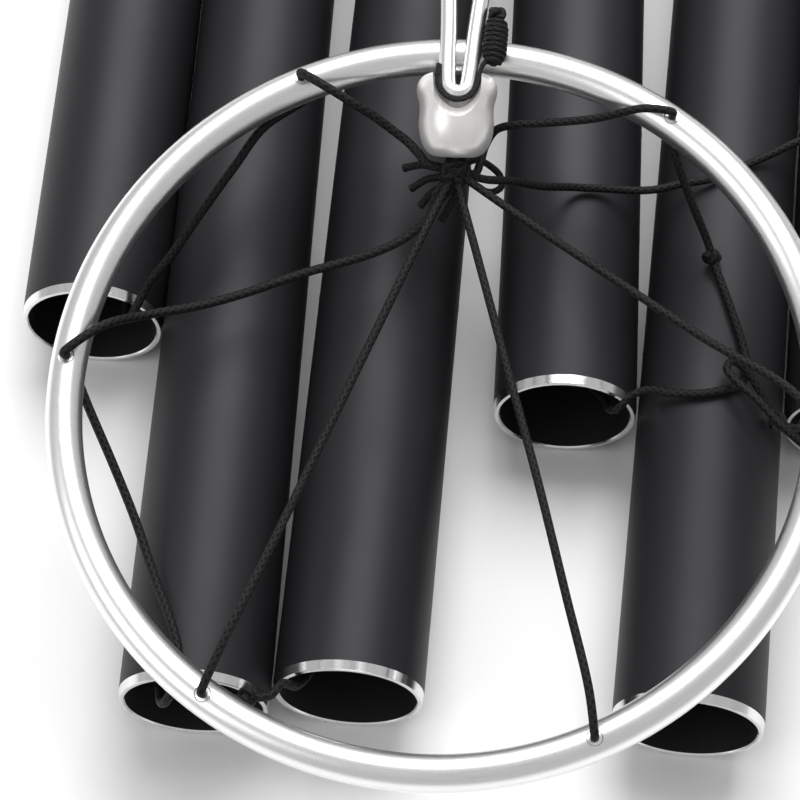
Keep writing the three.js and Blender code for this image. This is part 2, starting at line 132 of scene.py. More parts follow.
camera = bpy.data.objects.new("camera", bpy.data.cameras.new("camera"))
camera.location = row((0.0, 0.0, CAMERA_HEIGHT))
camera.rotation_euler = (math.radians(90.0 - CAMERA_PITCH), 0.0, 0.0)
camera.data.lens = CAMERA_LENS
camera.data.sensor_width = 36.0
camera.data.clip_start = 0.05
camera.data.clip_end = 30.0
bpy.context.scene.collection.objects.link(camera)
bpy.context.scene.camera = camera

# ------------------------------------------------------------------ materials


class Nodes:
    """A short way to build a node material."""

    def __init__(self, name):
        self.material = bpy.data.materials.new(name)
        self.material.use_nodes = True
        self.tree = self.material.node_tree
        self.shader = self.tree.nodes["Principled BSDF"]

    def node(self, kind, **inputs):
        made = self.tree.nodes.new(kind)
        for key, value in inputs.items():
            self.put(made, key, value)
        return made

    def put(self, node, key, value):
        label = key.replace("_", " ")
        socket = next((s for s in node.inputs if s.name == label), None)
        if socket is None:
            setattr(node, key, value)
        elif isinstance(value, bpy.types.NodeSocket):
            self.tree.links.new(value, socket)
        else:
            socket.default_value = value

    def math(self, operation, *values):
        node = self.tree.nodes.new("ShaderNodeMath")
        node.operation = operation
        for socket, value in zip(node.inputs, values):
            if isinstance(value, bpy.types.NodeSocket):
                self.tree.links.new(value, socket)
            else:
                socket.default_value = value
        return node.outputs[0]

    def place(self, stretch=(1.0, 1.0, 1.0), source="Object"):
        coordinates = self.tree.nodes.new("ShaderNodeTexCoord").outputs[source]
        mapping = self.node("ShaderNodeMapping", Scale=stretch)
        self.tree.links.new(coordinates, mapping.inputs["Vector"])
        return mapping.outputs[0]

    def noise(self, scale, detail=3.0, rough=0.55, stretch=(1.0, 1.0, 1.0), source="Object"):
        made = self.node("ShaderNodeTexNoise", Scale=scale, Detail=detail, Roughness=rough)
        self.tree.links.new(self.place(stretch, source), made.inputs["Vector"])
        return made.outputs[0]

    def ramp(self, value, low, high, start=0.3, end=0.7):
        made = self.tree.nodes.new("ShaderNodeValToRGB")
        self.tree.links.new(value, made.inputs[0])
        made.color_ramp.elements[0].position = start
        made.color_ramp.elements[1].position = end
        made.color_ramp.elements[0].color = grey(low)
        made.color_ramp.elements[1].color = grey(high)
        return made.outputs[0]

    def product(self, a, b):
        made = self.node("ShaderNodeMix", data_type="RGBA", blend_type="MULTIPLY")
        made.inputs[0].default_value = 1.0
        self.tree.links.new(a, made.inputs[6])
        self.tree.links.new(b, made.inputs[7])
        return made.outputs[2]

    def bump(self, height, distance, strength=1.0, after=None):
        made = self.node("ShaderNodeBump", Strength=strength, Distance=distance, Height=height)
        if after is not None:
            self.tree.links.new(after, made.inputs["Normal"])
        return made.outputs[0]

    def set(self, **inputs):
        for key, value in inputs.items():
            self.put(self.shader, key, value)
        return self


def grey(value):
    if isinstance(value, (tuple, list)):
        return (*value, 1.0)
    return (value, value, value, 1.0)


def anodised(name, dark=0.0062, light=0.0088, rough=(0.5, 0.58)):
    n = Nodes(name)
    grain = n.noise(2400.0, 2.0, 0.6)
    cloud = n.noise(9.0, 4.0, 0.6)
    n.set(
        Base_Color=n.ramp(grain, (dark, dark * 0.98, dark * 1.12), (light, light * 0.98, light * 1.12)),
        Roughness=n.ramp(cloud, rough[0], rough[1]),
        Normal=n.bump(grain, 0.00004, 0.6),
        Metallic=0.0,
        IOR=1.42,
        Specular_Tint=(0.95, 0.925, 1.0, 1.0),
    )
    return n.material


def machined(name, tint=0.86, rough=(0.1, 0.26)):
    n = Nodes(name)
    lathe_marks = n.noise(60.0, 3.0, 0.6, (90.0, 0.35, 1.0), "UV")
    patches = n.noise(7.0, 2.0, 0.5, (1.0, 5.0, 1.0), "UV")
    n.set(
        Base_Color=n.ramp(patches, (tint * 0.9, tint * 0.88, tint * 0.91), tint),
        Roughness=n.ramp(patches, rough[0], rough[1]),
        Normal=n.bump(lathe_marks, 0.00004, 0.35),
        Metallic=1.0,
    )
    return n.material


def bore(name):
    n = Nodes(name)
    streaks = n.noise(14.0, 3.0, 0.6, (1.0, 40.0, 1.0), "UV")
    n.set(
        Base_Color=n.ramp(streaks, 0.004, 0.009),
        Roughness=n.ramp(streaks, 0.5, 0.68),
        Normal=n.bump(streaks, 0.00005, 0.4),
        Metallic=0.0,
    )
    return n.material


def satin_ring(name):
    n = Nodes(name)
    drawn = n.noise(40.0, 4.0, 0.65, (0.5, 46.0, 1.0), "UV")
    mottle = n.noise(60.0, 5.0, 0.7, (1.3, 7.0, 1.0), "UV")
    speck = n.noise(1100.0, 3.0, 0.7)
    n.set(
        Base_Color=n.product(n.ramp(mottle, 0.82, 0.98, 0.36, 0.56), n.ramp(drawn, 0.8, 1.0, 0.36, 0.46)),
        Roughness=n.ramp(speck, 0.27, 0.33),
        Normal=n.bump(drawn, 0.00002, 0.35),
        Metallic=1.0,
    )
    return n.material


def polished(name):
    n = Nodes(name)
    drawn = n.noise(30.0, 3.0, 0.6, (0.6, 30.0, 1.0), "UV")
    n.set(
        Base_Color=n.ramp(drawn, 0.86, 0.94),
        Roughness=n.ramp(drawn, 0.26, 0.34),
        Normal=n.bump(drawn, 0.00004, 0.3),
        Metallic=1.0,
    )
    return n.material


def cast_metal(name):
    n = Nodes(name)
    brushed = n.noise(60.0, 4.0, 0.65, (0.5, 26.0, 1.0), "UV")
    pits = n.noise(500.0, 4.0, 0.7)
    n.set(
        Base_Color=n.ramp(brushed, (0.82, 0.785, 0.755), (0.93, 0.92, 0.91), 0.35, 0.6),
        Roughness=n.ramp(pits, 0.28, 0.38),
        Metallic=0.62,
    )
    return n.material


def braid(name, carriers=4.0, pitch=0.0029):
    """Two families of yarns that cross round the cord. The UVs are metres along and turns round."""
    n = Nodes(name)
    uv = n.node("ShaderNodeSeparateXYZ")
    n.tree.links.new(n.tree.nodes.new("ShaderNodeTexCoord").outputs["UV"], uv.inputs[0])
    along = n.math("MULTIPLY", uv.outputs[0], 2.0 * math.pi / pitch)
    around = n.math("MULTIPLY", uv.outputs[1], 2.0 * math.pi * carriers)
    one = n.math("SINE", n.math("ADD", around, along))
    other = n.math("SINE", n.math("SUBTRACT", around, along))
    yarn = n.math("MAXIMUM", one, other)
    level = n.math("MULTIPLY_ADD", yarn, 0.5, 0.5)
    fuzz = n.noise(5200.0, 3.0, 0.7)
    # The colour follows the yarn height: painted sheen lightens the yarn crests, and painted shade darkens the
    # grooves between yarns to near black. The fuzz noise is the yarn's own uneven tone.
    n.set(
        Base_Color=n.product(
            n.ramp(level, 0.0008, (0.0125, 0.012, 0.0128), 0.55, 1.0), n.ramp(fuzz, 0.65, 1.2)
        ),
        Roughness=n.ramp(fuzz, 0.48, 0.7),
        Normal=n.bump(level, 0.00021, 0.9, n.bump(fuzz, 0.00003, 0.5)),
        IOR=1.3,
    )
    return n.material


def stained_wood(name):
    n = Nodes(name)
    grain = n.noise(26.0, 5.0, 0.65, (1.5, 16.0, 16.0))
    pores = n.noise(420.0, 3.0, 0.6, (0.12, 1.0, 1.0))
    n.set(
        Base_Color=n.product(
            n.ramp(grain, (0.006, 0.0055, 0.005), (0.024, 0.021, 0.018)), n.ramp(pores, 0.55, 1.1, 0.35, 0.5)
        ),
        Roughness=n.ramp(grain, 0.36, 0.55),
        Normal=n.bump(pores, 0.0002, 0.5, n.bump(grain, 0.0002, 0.35)),
    )
    return n.material


def pale_floor(name):
    n = Nodes(name)
    cloud = n.noise(2.0, 3.0, 0.5)
    n.set(Base_Color=n.ramp(cloud, 0.9, 0.92), Roughness=n.ramp(cloud, 0.62, 0.72))
    return n.material


MAT = {
    "tube": anodised("tube_anodised"),
    "rim": machined("tube_rim_turned"),
    "end": machined("tube_end_face", 0.9, (0.14, 0.3)),
    "bore": bore("tube_bore"),
    "ring": satin_ring("ring_drawn_aluminium"),
    "hole": machined("ring_hole_edge", 0.8, (0.15, 0.3)),
    "link": polished("link_polished"),
    "ferrule": cast_metal("ferrule_cast"),
    "cord": braid("cord_braid"),
    "striker": stained_wood("striker_stained_wood"),
    "sail": anodised("sail_anodised", 0.007, 0.0105, (0.46, 0.56)),
    "pin": machined("pin_drawn", 0.7, (0.2, 0.35)),
    "floor": pale_floor("floor_pale"),
}

# ------------------------------------------------------------------ mesh tools


def mesh_object(name, vertices, faces, materials, face_materials=None, uvs=None, sharp=35.0):
    """A shaded mesh object. uvs holds one (u, v) per face corner."""
    mesh = bpy.data.meshes.new(name)
    mesh.from_pydata([tuple(v) for v in vertices], [], faces)
    for m in materials:
        mesh.materials.append(MAT[m])
    if face_materials:
        mesh.polygons.foreach_set("material_index", face_materials)
    if uvs:
        layer = mesh.uv_layers.new(name="UVMap")
        layer.data.foreach_set("uv", [c for corner in uvs for c in corner])
    mesh.validate()
    mesh.shade_smooth()
    mesh.set_sharp_from_angle(angle=math.radians(sharp))
    made = bpy.data.objects.new(name, mesh)
    bpy.context.scene.collection.objects.link(made)
    return made


def grid_mesh(name, rings, materials, ring_materials=None, closed_path=False, cap=False, sharp=35.0):
    """Joins rings of points, each a closed loop, into a tube. u is metres along it, v is turns round it."""
    count, sides = len(rings), len(rings[0])
    vertices = [v for r in rings for v in r]
    along = [0.0]
    for a, b in zip(rings, rings[1:]):
        along.append(along[-1] + sum((q - p).length for p, q in zip(a, b)) / sides)
    faces, which, uvs = [], [], []
    spans = count if closed_path else count - 1
    if closed_path:
        along.append(along[-1] + (rings[0][0] - rings[-1][0]).length)
    for i in range(spans):
        j = (i + 1) % count
        for k in range(sides):
            m = (k + 1) % sides
            faces.append((i * sides + k, i * sides + m, j * sides + m, j * sides + k))
            v0, v1 = k / sides, (k + 1) / sides
            uvs += [(along[i], v0), (along[i], v1), (along[i + 1], v1), (along[i + 1], v0)]
            which.append(ring_materials[i] if ring_materials else 0)
    if cap:
        faces.append(tuple(reversed(range(sides))))
        faces.append(tuple((count - 1) * sides + k for k in range(sides)))
        for _ in range(2):
            uvs += [(0.0, k / sides) for k in range(sides)]
            which.append(0)
    return mesh_object(name, vertices, faces, materials, which, uvs, sharp)


def catmull(points, step=1.0):
    """The centripetal spline that the CAD cords follow, sampled about every step millimetres."""
    p = [Vector(q) for q in points]
    out = []
    for i in range(len(p) - 1):
        a = p[i - 1] if i else 2 * p[0] - p[1]
        b, c = p[i], p[i + 1]
        d = p[i + 2] if i + 2 < len(p) else 2 * p[-1] - p[-2]
        t0, t1, t2 = ((y - x).length ** 0.5 or 1e-3 for x, y in ((a, b), (b, c), (c, d)))
        m1 = ((b - a) / t0 - (c - a) / (t0 + t1) + (c - b) / t1) * t1
        m2 = ((c - b) / t1 - (d - b) / (t1 + t2) + (d - c) / t2) * t1
        n = max(2, round((c - b).length / step))
        for k in range(n):
            s = k / n
            out.append(
                b * (2 * s**3 - 3 * s**2 + 1) + m1 * (s**3 - 2 * s**2 + s)
                + c * (-2 * s**3 + 3 * s**2) + m2 * (s**3 - s**2)
            )
    out.append(p[-1])
    return out


def carry_frames(path, closed=False):
    """For each point, two directions across the path that don't spin about it."""
    n = len(path)
    tangents = []
    for i in range(n):
        if closed:
            t = path[(i + 1) % n] - path[i - 1]
        else:
            t = path[min(i + 1, n - 1)] - path[max(i - 1, 0)]
        tangents.append(t.normalized())
    side = tangents[0].orthogonal().normalized()
    frames = []
    for t in tangents:
        side = (side - t * side.dot(t)).normalized()
        frames.append((side, t.cross(side)))
    return frames


def strand_rings(path, radius, sides, closed=False):
    """Rings of a round strand along a path in millimetres. The radius is one value or one per point."""
    rings = []
    for i, (p, (a, b)) in enumerate(zip(path, carry_frames(path, closed))):
        r = radius[i] if isinstance(radius, list) else radius
        rings.append([
            row(p + r * (math.cos(w) * a + math.sin(w) * b)) for w in round_angles(sides)
        ])
    return rings


def joined(name, objects):
    """One object from several, keeping their UVs and materials."""
    first = objects[0]
    whole = bmesh.new()
    for made in objects:
        whole.from_mesh(made.data)
    whole.to_mesh(first.data)
    whole.free()
    for made in objects[1:]:
        bpy.data.objects.remove(made)
    first.name = name
    return first


def rope(name, path, radius=CORD, sides=14, closed=False):
    """A round braided cord along a path in millimetres."""
    rings = strand_rings(path, radius, sides, closed)
    return grid_mesh(name, rings, ["cord"], closed_path=closed, cap=not closed, sharp=60.0)


def turned(name, profile, materials, segment_materials, place, segments=128, sharp=30.0):
    """A lathed solid: profile is (radius, height) with height along local Y."""
    rings = []
    for r, h in profile:
        rings.append([
            row(place @ Vector((r * math.cos(w), h, r * math.sin(w)))) for w in round_angles(segments)
        ])
    return grid_mesh(name, rings, materials, segment_materials, closed_path=True, sharp=sharp)


def with_modifiers(made, modifiers):
    """Applies modifiers, each (kind, settings), to a mesh."""
    for kind, settings in modifiers:
        m = made.modifiers.new(kind, kind)
        for key, value in settings.items():
            setattr(m, key, value)
    bpy.context.view_layer.update()
    evaluated = made.evaluated_get(bpy.context.evaluated_depsgraph_get())
    mesh = bpy.data.meshes.new_from_object(evaluated)
    made.modifiers.clear()
    made.data = mesh
    return made


def cutter(name, rings):
    made = grid_mesh(name, rings, ["hole"], cap=True)
    made.hide_render = True
    return made


def settle(made, body, slot, *nodes):
    """The piece rides on a body and stands for CAD nodes, which it hides. The slot is not used."""
    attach(made, body)
    if nodes:
        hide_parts(*nodes)
    return made


# ------------------------------------------------------------------ cord routes, as in the CAD


def ring_point(bearing, above):
    w = math.radians(bearing)
    return (RING_CENTRE + RING_SIDE * (RING_RADIUS * math.sin(w))
            + RING_AHEAD * (RING_RADIUS * math.cos(w)) + RING_NORMAL * above)


def through_hole(bearing):
    return [ring_point(bearing, above) for above in (9, 6, 0, -6, -10)]


def tube_point(i, along, across, height):
    (x, y), heading, _ = TUBES[i - 1]
    w = math.radians(heading)
    return Vector((x + along * math.sin(w) + across * math.cos(w),
                   y + along * math.cos(w) - across * math.sin(w), height))


def bore_run(i, start):
    """The slack of tube i's cord, which lies along the bore and then rises to the pin."""
    pin = PIN_RATIO * TUBES[i - 1][2]
    lie = TUBE_RADIUS - TUBE_WALL - CAD_CORD - BORE_CLEARANCE
    points = []
    for k in range(SLACK_WAVES + 1):
        across = 0 if k in (0, SLACK_WAVES) else (SLACK_SWAY if k % 2 else -SLACK_SWAY)
        height = TUBE_RADIUS - math.sqrt(lie * lie - across * across)
        points.append(tube_point(i, start + (pin - 38 - start) * k / SLACK_WAVES, across, height))
    points.append(tube_point(i, pin - 18, 0, TUBE_RADIUS - 12))
    points.append(tube_point(i, pin - 7, 0, TUBE_RADIUS - 2.5))
    points.append(tube_point(i, pin - 2, 0, TUBE_RADIUS))
    return points


SUSPENSION = {
    1: [(9.4, 472.2, 89.9), (6.4, 477.6, 88.2), (2.6, 482.6, 88), (-2.4, 485.8, 90.2), (-9.2, 488.4, 95.2),
        (-17.2, 490.4, 101), (-26.5, 494.4, 105.2), *through_hole(HOLES[1]),
        (-47, 492.8, 82), (-57.2, 480.9, 75.5), (-69.6, 467.7, 65), (-80.2, 456.3, 55.5), (-88, 449.9, 48.5),
        (-92, 443, 44.6), (-94.6, 440.8, 40.8), (-96, 443, 37.4), tube_point(1, 7.6, 13, 34.8)],
    2: [(12.4, 464.3, 84), (10.2, 459.2, 78.4), (4, 454.3, 74.4), (-6.9, 448.7, 72.4), (-34.3, 441.2, 68.9),
        (-54.7, 434, 67.4), (-68.2, 429.2, 68.4), (-84.6, 422.7, 73.4), (-98.1, 412.7, 83.2),
        *through_hole(HOLES[2]),
        (-104.8, 396, 62), (-94.7, 374.3, 55), (-87.6, 357.8, 50.8), (-80.3, 337.2, 50), (-74.4, 321.5, 52.4),
        (-71.4, 311, 52.9), (-71, 303.5, 52.6), (-72.4, 297.8, 50.8), (-74.8, 295.2, 46.6), (-77, 297, 41.6),
        tube_point(2, 7.4, -11.4, 36.2)],
    3: [(14.4, 461.4, 87.6), (5.9, 442.7, 85.4), (-10.1, 406.7, 81.4), (-27.1, 367.7, 78.4),
        (-43.1, 330.7, 75.9), (-54.1, 306.2, 74.4), *through_hole(HOLES[3]),
        (-58, 293.4, 49.6), (-53.6, 295.2, 47.4)],
    4: [(25.7, 473, 83), (27.6, 478.4, 82.4), (29.4, 484.2, 83.6), (32.8, 487.8, 87.4), (39.6, 487.3, 91.4),
        (50.5, 485.6, 95), (65.2, 483.6, 100.2), (81.9, 482.1, 108.4), *through_hole(HOLES[4]),
        (94.3, 476.6, 86.6), (97.3, 472.4, 78.8), (102.7, 466.8, 66.4), (107, 461.9, 57.4)],
    5: [(20.5, 461.3, 87.4), (25.9, 437.7, 85.4), (34.9, 397.7, 82.4), (43.9, 357.7, 80.4),
        (51.9, 317.7, 78.9), (57.9, 285.7, 79.4), *through_hole(HOLES[5]),
        (65, 278.4, 53.4), (71.4, 283.6, 51.4), (78, 288, 48.6), (82.4, 289.6, 44.6),
        tube_point(5, 6.6, -10.6, 38.4)],
    6: [(25.7, 464.7, 87.9), (44.9, 448.2, 88.4), (69.9, 427.2, 89.9), (99.9, 401.7, 92.4),
        (123.9, 381.2, 97.4), *through_hole(HOLES[6]),
        (133.6, 376.4, 67), (127, 388, 60), (119, 399, 59.4), (113, 406, 58.6), (110.6, 410.8, 57.8),
        (112.8, 414.4, 56.6), (117.4, 412.2, 54.8), (121.2, 406.8, 52.4), (126, 400, 47.8)],
}
TUBE_CORDS = {
    1: [tube_point(1, 16.4, 11.6, 31.6), tube_point(1, 22, 10, 27), tube_point(1, 30, 6.5, 16),
        *bore_run(1, 44)],
    2: [tube_point(2, 16.4, -11.6, 31.6), tube_point(2, 22, -10, 27), tube_point(2, 30, -6.5, 16),
        *bore_run(2, 44)],
    3: [(-44.6, 296.6, 46.2), (-41.4, 297.6, 45.6), tube_point(3, -4, -20.4, 43.6),
        tube_point(3, -3, -16.6, 39.4), tube_point(3, 2.4, -13.4, 35.4),
        tube_point(3, 9, -12, 32), tube_point(3, 22, -7, 16), *bore_run(3, 42)],
    4: [(110, 453.4, 53), (111.8, 447.4, 52.2), (114.9, 435.4, 51.9), (117.6, 424, 51), (118.4, 415.3, 50.6),
        (116, 408.6, 51.2), (109.2, 405.6, 52.2), (101.8, 404.6, 51.6), (92.1, 406.4, 48.6),
        (85, 409.4, 45.4), (79.2, 408.4, 43.2), tube_point(4, -3.6, 17.6, 40.2), tube_point(4, -2.6, 15, 37.2),
        tube_point(4, 3.4, 13, 34), *bore_run(4, 36)],
    5: [tube_point(5, 16.4, -8.6, 33.6), tube_point(5, 22, -7.6, 29), tube_point(5, 30, -5, 17),
        *bore_run(5, 44)],
    6: [(132.2, 395.6, 44.2), (135.6, 395.8, 43.4), tube_point(6, -4, -19, 41.6),
        tube_point(6, -3, -16, 38.2), tube_point(6, 2.4, -13, 35), *bore_run(6, 36)],
}
STOP_KNOTS = {
    1: tube_point(1, 12, 13, 34),
    2: tube_point(2, 12, -13, 34),
    3: Vector((-49, 296.5, 46.6)),
    4: Vector((108.8, 457.8, 53.7)),
    5: tube_point(5, 12, -10, 36),
    6: Vector((128.4, 397.4, 45)),
}
TAILS = [
    [(11.7, 473.9, 85.6), (7.2, 476.8, 82.6), (1.4, 477.9, 79)],
    [(13.1, 471.5, 83), (8.9, 473, 79.2), (3.8, 472, 75)],
    [(15.1, 469.1, 82), (11.2, 469.2, 77.2), (6.9, 466.6, 72.5)],
    [(17.5, 467.9, 82), (14.2, 466.8, 76.6), (10.3, 463.6, 71.5)],
    [(20.1, 467.3, 82.3), (17.6, 465.3, 76.6), (14.1, 461.2, 71.5)],
]
LOOP = [(22.6, 473.6, 82.6), (22.9, 475, 78.6), (24.4, 474.8, 75), (27.6, 473.9, 72), (31.8, 474, 70),
        (35, 476.4, 69.5), (34.7, 480, 71), (31.2, 482.1, 74), (27.3, 482.2, 77.4), (23.4, 478.8, 81.4)]


striker_place = (
    Matrix.Translation(STRIKER_CENTRE + Vector((0, 0, (STRIKER_RADIUS - 1) * math.sin(STRIKER_TILT) + 0.05)))
    @ Matrix.Rotation(STRIKER_TILT, 4, "X")
)


def on_striker(across, along, above):
    return striker_place @ Vector((across, along, above))


STRIKER_CORD = [
    (28.7, 470.8, 82.8), (32.3, 472.8, 79.2), (38.4, 476.2, 73.6), (49.2, 480.8, 63.4), (60.4, 486.2, 54.6),
    (71.1, 487.6, 51.6), (88.9, 487.6, 50.6), (100.4, 490.4, 50.4), (111, 491.6, 51.8), (123.2, 497.2, 51.8),
    (133, 502.6, 51.2), (143.7, 508.4, 51.2), (158, 512.6, 51.4), (172, 515.4, 52.2), (186, 517.4, 50.4),
    (200, 519.6, 42), (214, 522.4, 28), (228, 526, 14), (242, 531, 5), (257, 537.6, 2.2),
    (278, 547, 1.9), (296, 556.4, 1.9), (306.6, 571, 1.9), (301.4, 588, 1.9), (285.4, 598, 1.9),
    (267.6, 606.6, 1.9), (257, 620, 1.9), (259, 632, 2.1), (266.4, 639.4, 4.6), (274, 645, 11),
    (280.6, 649.6, 19.4), on_striker(-48, -45, 18.5), on_striker(-40, -37, 17.9), on_striker(-27, -25, 17.9),
    on_striker(-14, -13, 17.9), on_striker(-7, -6.5, 18.3), on_striker(-2.9, -2.7, 19),
]
SAIL_CORD = [
    (335, 704.4, 3.4), (335, 714, 2.2), (334, 736, 1.9), (334, 762, 1.9), (340, 784, 1.9), (356, 798, 1.9),
    (369, 816, 1.9), (365, 838, 1.9), (346, 851, 1.9), (323, 861, 1.9), (307, 877, 1.9), (308, 898, 1.9),
    (326, 911, 1.9), (349, 920, 1.9), (364, 936, 1.9), (362, 957, 1.9), (344, 970, 1.9), (322, 980, 1.9),
    (308, 997, 1.9), (311, 1017, 1.9), (324, 1034, 1.9), (332, 1054, 1.9), (335, 1072, 1.9), (335, 1084, 1.9),
    (335, 1089, 2.5), (335, 1091.2, 4.1), (335, 1091.9, 5.7), (335, 1092.1, 8.2),
]


def free_cord(name, points, node, lead=None, last=None, radius=CORD):
    """Builds a free cord and hides its CAD node. The caller says what it rides on."""
    route = [Vector(p) for p in points]
    if lead is not None:
        route = [Vector(lead), *route]
    if last is not None:
        route = [*route, Vector(last)]
    path = catmull(route, 0.7)
    made = rope(name, path, radius)
    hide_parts(node)
    return made


def from_gather(point, reach=3.0):
    """Where a cord leaves the gathering knot on its way to a point."""
    return GATHER + (Vector(point) - GATHER).normalized() * reach


for i, points in SUSPENSION.items():
    made = free_cord(f"cord_suspension_{i}", points, f"suspension_cord_{i}",
                     lead=from_gather(points[0]), last=STOP_KNOTS[i],
                     radius=THICK_CORD if i in (1, 2) else CORD)
    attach(made, "ring")

for i, points in TUBE_CORDS.items():
    made = free_cord(f"cord_in_tube_{i}", points, f"tube_cord_{i}", lead=STOP_KNOTS[i])
    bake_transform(made)

made = free_cord("cord_to_striker", STRIKER_CORD, "striker_cord",
                 lead=from_gather(STRIKER_CORD[0]))
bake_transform(made)
made = free_cord("cord_to_sail", SAIL_CORD, "sail_cord")
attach(made, "striker_disc")

for i, points in enumerate(TAILS, 1):
    path = catmull([from_gather(points[0]), *points], 0.5)
    radii = [TAIL if k < len(path) - 4 else TAIL + 0.04 * (k - len(path) + 5) for k in range(len(path))]
    settle(rope(f"cord_end_{i}", path, radii), "ring", "cord", f"cord_tail_{i}")
path = catmull([from_gather(LOOP[0]), *LOOP, from_gather(LOOP[-1])], 0.5)
settle(rope("cord_small_loop", path, LOOP_CORD), "ring", "cord", "cord_loop")

# ------------------------------------------------------------------ knots


def knot_path(centre, size, aim, turn, steps=90):
    """The closed curve of an overhand knot, pulled tight."""
    spin = Vector(aim).normalized().to_track_quat("Z", "Y").to_matrix() @ Matrix.Rotation(turn, 3, "Z")
    path = []
    for t in round_angles(steps):
        p = Vector((math.sin(t) + 2 * math.sin(2 * t), math.cos(t) - 2 * math.cos(2 * t),
                    -1.6 * math.sin(3 * t)))
        path.append(Vector(centre) + spin @ (p * (size / 3.0)))
    return path


def knot(name, centre, aim, turn, body, node):
    made = rope(name, knot_path(centre, KNOT, aim, turn), KNOT_CORD, closed=True)
    return settle(made, body, "cord", node)


for i, place in STOP_KNOTS.items():
    before = Vector(SUSPENSION[i][-1])
    knot(f"knot_stop_{i}", place, place - before, 0.8 * i, "ring", f"stop_knot_{i}")
knot("knot_over_striker", on_striker(0, 0, STRIKER_THICKNESS + KNOT_RISE), (0, 0, 1), 0.3,
     "striker_disc", "striker_knot_top")
knot("knot_under_striker", on_striker(0, 0, -KNOT_RISE), (0, 0.2, 1), 1.1,
     "striker_disc", "striker_knot_bottom")
sail_place = (
    Matrix.Translation(SAIL_ROOT + Vector((0, 0, (SAIL_LENGTH - SAIL_INSET) * math.sin(SAIL_TILT) + 0.02)))
    @ Matrix.Rotation(-SAIL_TILT, 4, "X")
)
knot("knot_over_sail", sail_place @ Vector((0, 0, KNOT_RISE + 2)), (0, 0, 1), 0.5, "sail", "sail_knot")

gather_core = [(0.01, -4.6), (2.6, -3.8), (4.3, -1.6), (4.3, 1.6), (2.6, 3.8), (0.01, 4.6)]
gather_parts = [turned("core", gather_core, ["cord"], None, Matrix.Translation(GATHER), 32)]
for k in range(3):
    aim = Matrix.Rotation(2.1 * k, 3, LEAN) @ (LEAN * 0.8 + FRONT)
    gather_parts.append(rope(f"gather_{k}", knot_path(GATHER, 4.3, aim, 0.9 * k), 1.45, closed=True))
settle(joined("knot_gathering", gather_parts), "ring", "cord", "gathering_knot")

# ------------------------------------------------------------------ tubes and pins

for i, ((x, y), heading, length) in enumerate(TUBES, 1):
    place = Matrix.Translation(Vector((x, y, TUBE_RADIUS))) @ Matrix.Rotation(-math.radians(heading), 4, "Z")
    inner, edge = TUBE_RADIUS - TUBE_WALL, TUBE_RADIUS - RIM_TAPER
    profile = [
        (inner, 0.5), (inner + 0.45, 0.0), (edge - 0.15, 0.0), (edge, 0.15), (TUBE_RADIUS - 0.04, RIM_LENGTH),
        (TUBE_RADIUS, RIM_LENGTH + 0.1), (TUBE_RADIUS, length - RIM_LENGTH - 0.1),
        (TUBE_RADIUS - 0.04, length - RIM_LENGTH), (edge, length - 0.15), (edge - 0.15, length),
        (inner + 0.45, length), (inner, length - 0.5),
    ]
    shell = turned(f"shell_{i}", profile, ["tube", "rim", "end", "bore"],
                   [2, 2, 1, 1, 0, 0, 0, 1, 1, 2, 2, 3], place, 160, 12.0)
    settle(shell, TUBE_BODIES[i - 1], "tube", f"tube_{i}")
    across = Matrix.Rotation(math.pi / 2, 4, "Z")
    pin_place = place @ Matrix.Translation(Vector((0, PIN_RATIO * length, 0))) @ across
    half = TUBE_RADIUS + 0.12
    pin_profile = [(0.01, -half), (1.2, -half), (1.5, -half + 0.3),
                   (1.5, half - 0.3), (1.2, half), (0.01, half)]
    pin = turned(f"cross_pin_{i}", pin_profile, ["pin"], None, pin_place, 32)
    settle(pin, TUBE_BODIES[i - 1], "pin", f"tube_pin_{i}")

# ------------------------------------------------------------------ ring

RING_SEGMENTS, ROD_SIDES = 288, 44
HOLE_EDGE_OFFSET, HOLE_EDGE = 0.12, 0.24


def ring_axes(w):
    """Outwards and along the ring at an angle round it."""
    return (RING_SIDE * math.sin(w) + RING_AHEAD * math.cos(w),
            RING_SIDE * math.cos(w) - RING_AHEAD * math.sin(w))


rings = []
for w in round_angles(RING_SEGMENTS):
    out, _ = ring_axes(w)
    rings.append([
        row(RING_CENTRE + out * (RING_RADIUS + RING_ROD * math.cos(a))
            + RING_NORMAL * (RING_ROD * math.sin(a)))
        for a in (-b for b in round_angles(ROD_SIDES))
    ])
ring = grid_mesh("ring_rod", rings, ["ring", "hole"], closed_path=True, sharp=40.0)
drills = []
for bearing in HOLES.values():
    out, across = ring_axes(math.radians(bearing))
    drills.append(cutter("drill", [
        [row(ring_point(bearing, h) + HOLE_RADIUS * (math.cos(a) * out + math.sin(a) * across))
         for a in round_angles(32)]
        for h in (-9, 9)
    ]))
for drill in drills:
    with_modifiers(ring, [("BOOLEAN", {"object": drill, "operation": "DIFFERENCE", "solver": "EXACT"})])
for drill in drills:
    bpy.data.objects.remove(drill)
ring.data.set_sharp_from_angle(angle=math.radians(40.0))
settle(ring, "ring", "ring", "suspension_ring")

# The turned-over edge of each drilled hole follows the round of the rod.
for i, bearing in HOLES.items():
    out, across = ring_axes(math.radians(bearing))
    r = HOLE_RADIUS + HOLE_EDGE_OFFSET
    edges = []
    for sign in (1, -1):
        path = []
        for a in round_angles(48):
            lift = math.sqrt(RING_ROD**2 - (r * math.cos(a)) ** 2)
            path.append(ring_point(bearing, sign * lift) + r * (math.cos(a) * out + math.sin(a) * across))
        edges.append(grid_mesh(f"edge_{sign}", strand_rings(path, HOLE_EDGE, 8, True), ["hole"],
                               closed_path=True, sharp=60.0))
    settle(joined(f"hole_edge_{i}", edges), "ring", "ring")

# ------------------------------------------------------------------ hanger

